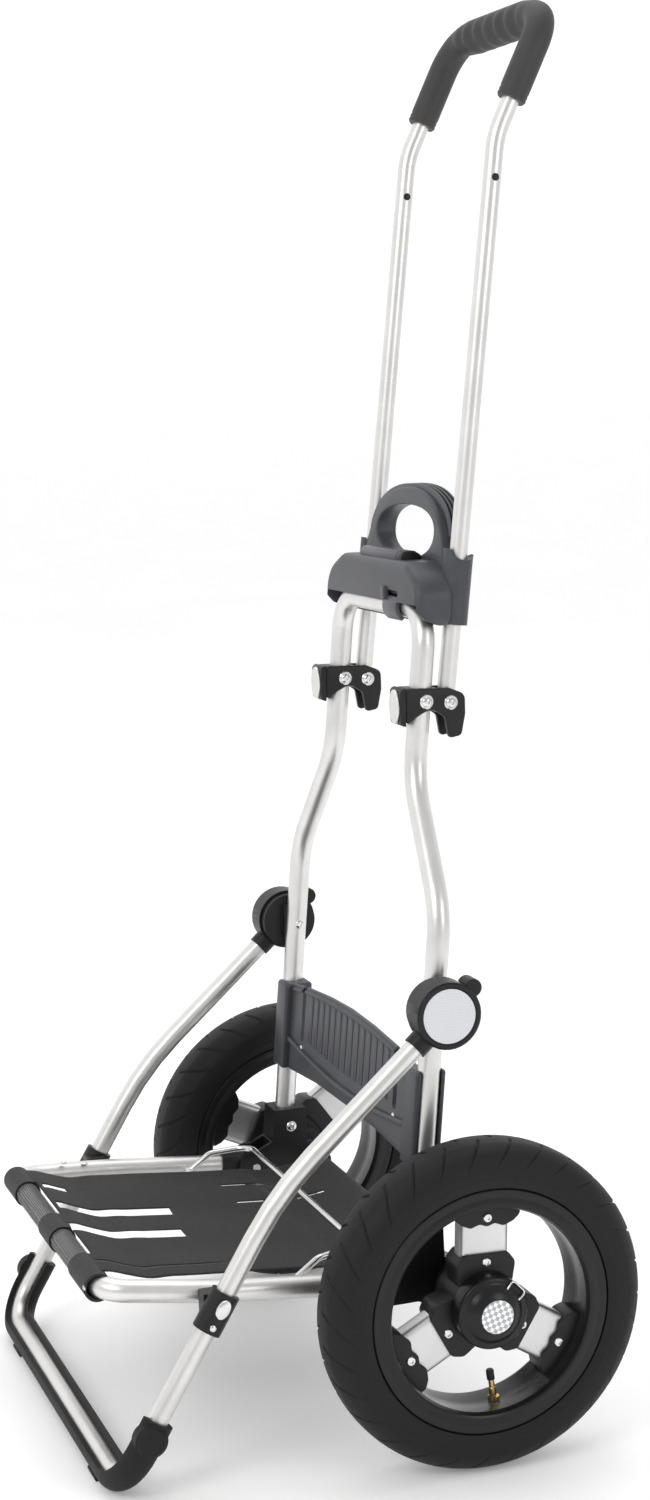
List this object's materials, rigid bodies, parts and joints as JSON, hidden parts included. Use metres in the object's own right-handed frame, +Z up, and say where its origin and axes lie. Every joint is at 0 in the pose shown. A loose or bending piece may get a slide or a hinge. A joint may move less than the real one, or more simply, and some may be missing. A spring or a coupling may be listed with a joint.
{
  "type": "folding platform cart",
  "caption": "Folding two-wheeled shopping cart frame with mesh platform, front stand, sliding latch handle and spoked wheels.",
  "frame": {"origin": "centre of the bounding box's bottom face, on the floor", "axes": "+Z up, +X across the cart to its right wheel, +Y to the rear where the handle leans, so the platform points to -Y"},
  "size_m": [0.5912, 0.4922, 1.257],
  "materials": {
    "aluminium": "brushed, clear anodised",
    "steel": "bright",
    "brass": "satin",
    "grey_plastic": "fine grained",
    "black_plastic": "fine grained",
    "tyre": "matt",
    "rubber": "matt",
    "grip_rubber": "soft, matt",
    "mesh_fabric": "open knitted mesh",
    "white_plastic": "prismatic reflector"
  },
  "bodies": {
    "frame": {"main_frame_tube": "aluminium", "rear_panel": "grey_plastic", "axle_tube": "aluminium", "fabric_rear_hem": "mesh_fabric", "axle_bracket_L": "black_plastic", "axle_bracket_R": "black_plastic", "axle_stub_L": "steel", "axle_stub_R": "steel", "platform_pin_L": "steel", "platform_pin_R": "steel", "handle_bracket_L": "black_plastic", "handle_bracket_R": "black_plastic", "bracket_cap_L": "aluminium", "bracket_cap_R": "aluminium", "bracket_bolt_L": "steel", "bracket_bolt_R": "steel", "pivot_bolt_L": "steel", "pivot_bolt_R": "steel", "disc_hub_L": "black_plastic", "disc_hub_R": "black_plastic"},
    "handle": {"handle_tube": "aluminium", "handle_grip": "grip_rubber"},
    "slider": {"slider_housing": "grey_plastic", "latch_button": "grey_plastic"},
    "lever": {"latch_lever": "grey_plastic"},
    "stand": {"stand_bow": "aluminium", "foot_shoe": "rubber", "stand_disc_L": "black_plastic", "stand_disc_R": "black_plastic", "reflector_L": "white_plastic", "reflector_R": "white_plastic", "release_tab_L": "black_plastic", "release_tab_R": "black_plastic", "leg_clip_L": "black_plastic", "leg_clip_R": "black_plastic"},
    "platform": {"platform_tube": "aluminium", "platform_fabric": "mesh_fabric", "hinge_knuckle_L": "black_plastic", "hinge_knuckle_R": "black_plastic"},
    "bail": {"wire_bail": "steel"},
    "wheel_left": {"tyre_L": "tyre", "rim_L": "black_plastic", "hub_L": "black_plastic", "hub_cap_L": "black_plastic", "release_clip_L": "steel", "valve_L": "brass", "spoke_L_1": "aluminium", "spoke_L_2": "aluminium", "spoke_L_3": "aluminium"},
    "wheel_right": {"tyre_R": "tyre", "rim_R": "black_plastic", "hub_R": "black_plastic", "hub_cap_R": "black_plastic", "release_clip_R": "steel", "valve_R": "brass", "spoke_R_1": "aluminium", "spoke_R_2": "aluminium", "spoke_R_3": "aluminium"}
  },
  "joints": [
    {"name": "left_wheel_spin", "type": "hinge", "parent": "frame", "child": "wheel_left", "pos_m": [-0.2566, 0.0791, 0.145], "axis": [1, 0, 0], "continuous": true},
    {"name": "right_wheel_spin", "type": "hinge", "parent": "frame", "child": "wheel_right", "pos_m": [0.2566, 0.0791, 0.145], "axis": [1, 0, 0], "continuous": true},
    {"name": "handle_fold", "type": "hinge", "parent": "frame", "child": "handle", "pos_m": [0, 0.12012, 0.645], "axis": [-1, 0, 0], "range_deg": [0, 170]},
    {"name": "slider_lift", "type": "slide", "parent": "handle", "child": "slider", "axis": [0, 0.1182, 0.993], "range_m": [0, 0.085]},
    {"name": "latch_lever", "type": "hinge", "parent": "slider", "child": "lever", "pos_m": [0, 0.0894, 0.746], "axis": [-1, 0, 0], "range_deg": [0, 25], "stiffness_Nm_per_rad": 0.05},
    {"name": "stand_fold", "type": "hinge", "parent": "frame", "child": "stand", "pos_m": [0, 0.0676, 0.3915], "axis": [-1, 0, 0], "range_deg": [0, 144]},
    {"name": "platform_fold", "type": "hinge", "parent": "frame", "child": "platform", "pos_m": [0, 0.0151, 0.1474], "axis": [-1, 0, 0], "range_deg": [0, 85]},
    {"name": "bail_lift", "type": "hinge", "parent": "platform", "child": "bail", "pos_m": [0, -0.0569, 0.15426], "axis": [1, 0, 0], "range_deg": [0, 90]}
  ],
  "couplings": [
    {"joint": "slider_lift", "follows": "handle_fold", "m_per_rad": 0.0286}
  ]
}
